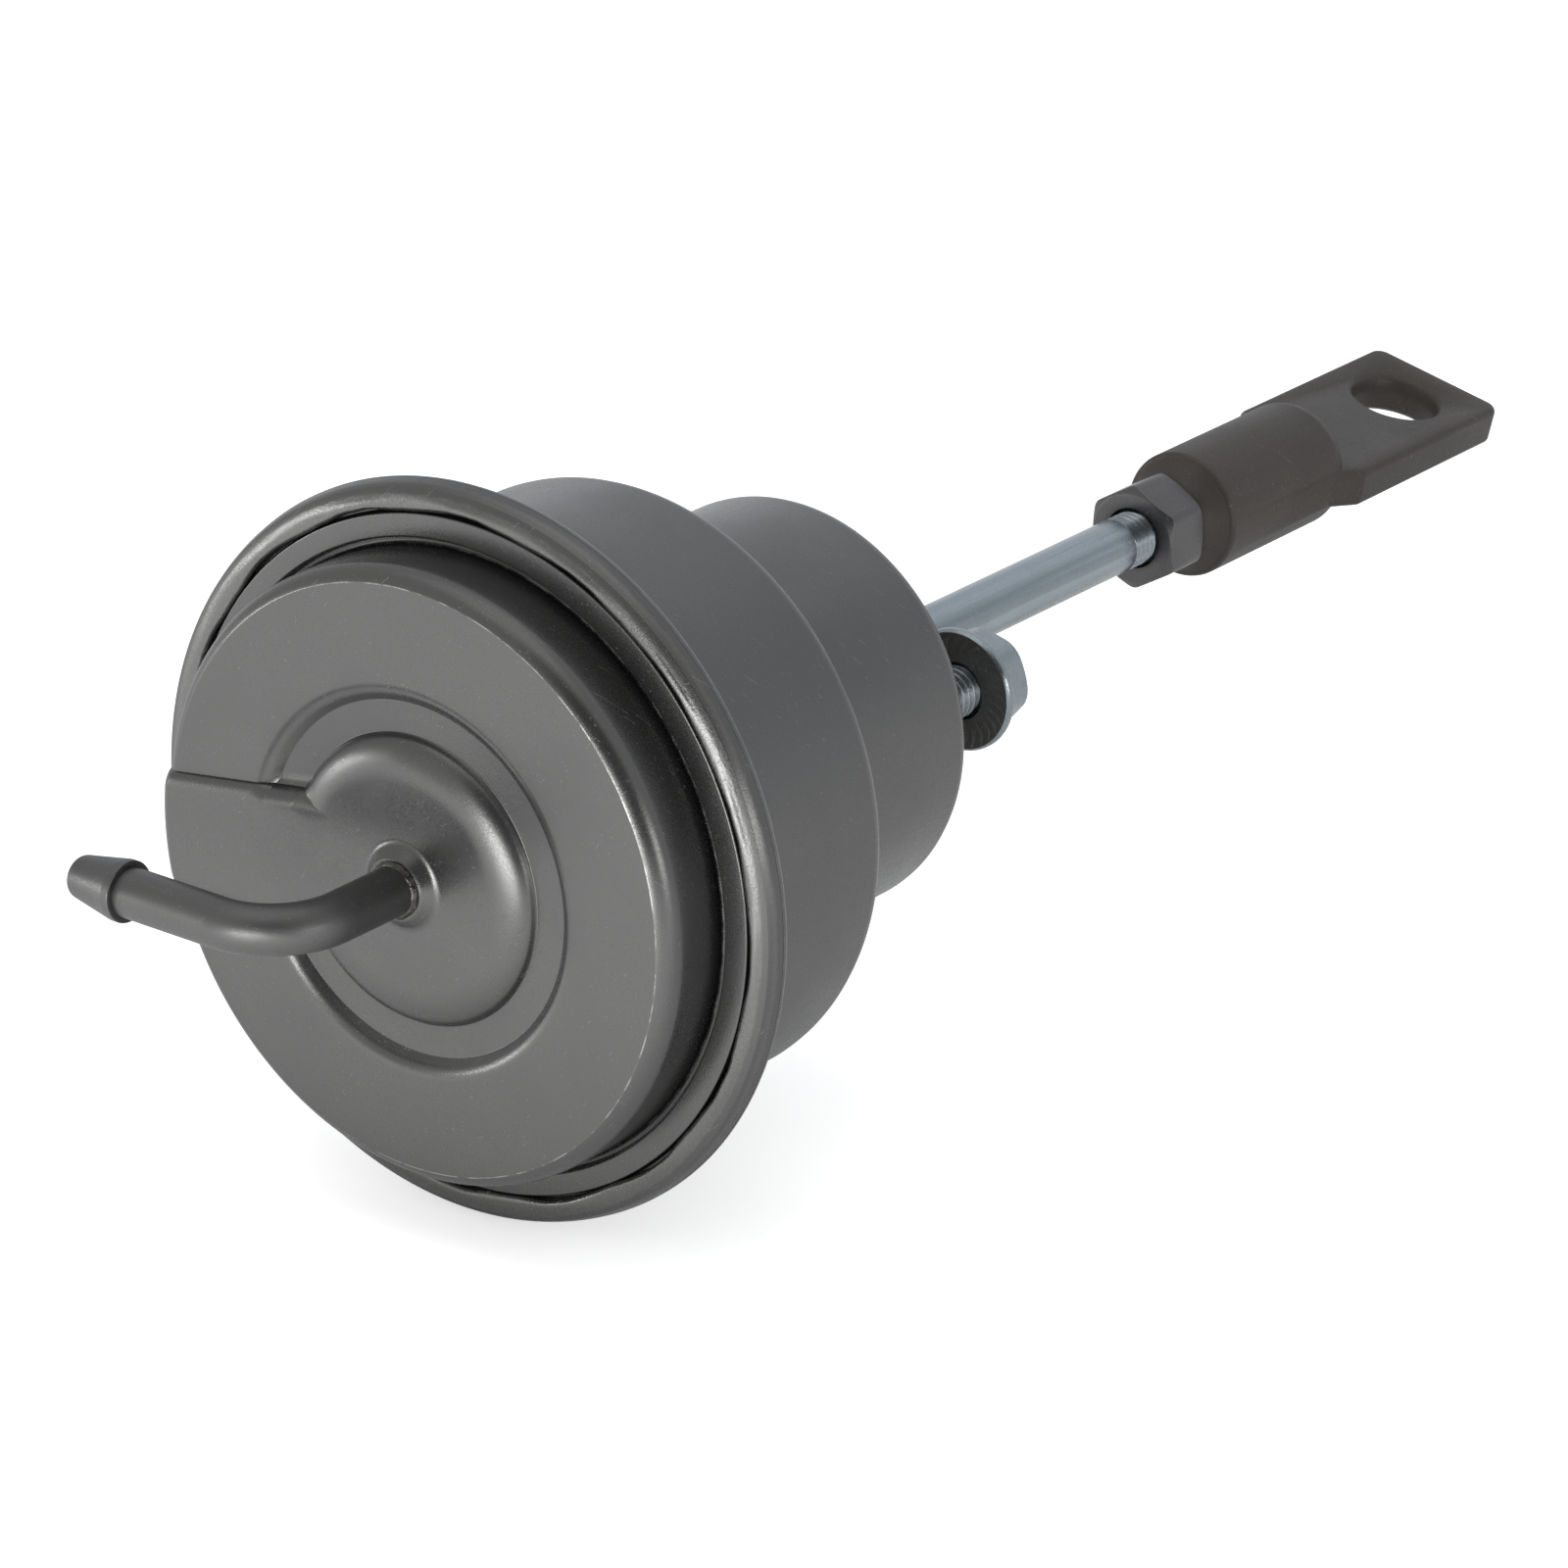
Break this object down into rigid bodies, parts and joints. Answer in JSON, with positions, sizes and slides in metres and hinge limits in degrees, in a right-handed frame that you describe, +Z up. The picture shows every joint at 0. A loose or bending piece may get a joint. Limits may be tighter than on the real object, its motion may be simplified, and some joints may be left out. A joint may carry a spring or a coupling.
{
  "type": "wastegate actuator",
  "caption": "Crimped steel pressure canister with a bent hose tube and a spring-loaded push rod that carries a lock nut and a flat eye end; it bolts up by threaded studs.",
  "frame": {"origin": "on the push rod's axis, on the flat rear face of the canister that the studs stand out of", "axes": "+X along the push rod, from the canister towards the eye end; +Y the way the inlet tube points; +Z up, square to both"},
  "size_m": [0.2182, 0.08, 0.08],
  "materials": {
    "painted_steel": "satin warm grey paint",
    "zinc_steel": "bright zinc plate",
    "dark_steel": "dark satin phosphate",
    "plain_steel": "oiled pressed steel",
    "spring_steel": "oiled spring wire",
    "bush_bronze": "sintered bronze",
    "black_rubber": "fabric-backed rubber",
    "braze_metal": "dark painted braze"
  },
  "bodies": {
    "canister": {"casing": "painted_steel", "front_cap": "painted_steel", "inlet_tube": "painted_steel", "braze_ring": "braze_metal", "diaphragm": "black_rubber", "main_spring": "spring_steel", "stud_plate": "plain_steel", "stud_far": "zinc_steel", "stud_near": "zinc_steel", "flange_nut_far": "zinc_steel", "flange_nut_near": "zinc_steel", "guide_bush": "bush_bronze"},
    "rod": {"piston_cup": "plain_steel", "clamp_plate": "plain_steel", "backing_washer": "plain_steel", "spring_seat": "plain_steel", "push_rod": "zinc_steel", "lock_nut": "dark_steel", "rod_end": "dark_steel"}
  },
  "joints": [
    {"name": "rod_stroke", "type": "slide", "parent": "canister", "child": "rod", "axis": [1, 0, 0], "range_m": [0, 0.012], "stiffness_N_per_m": 2500, "deforming": ["main_spring", "diaphragm"]}
  ]
}
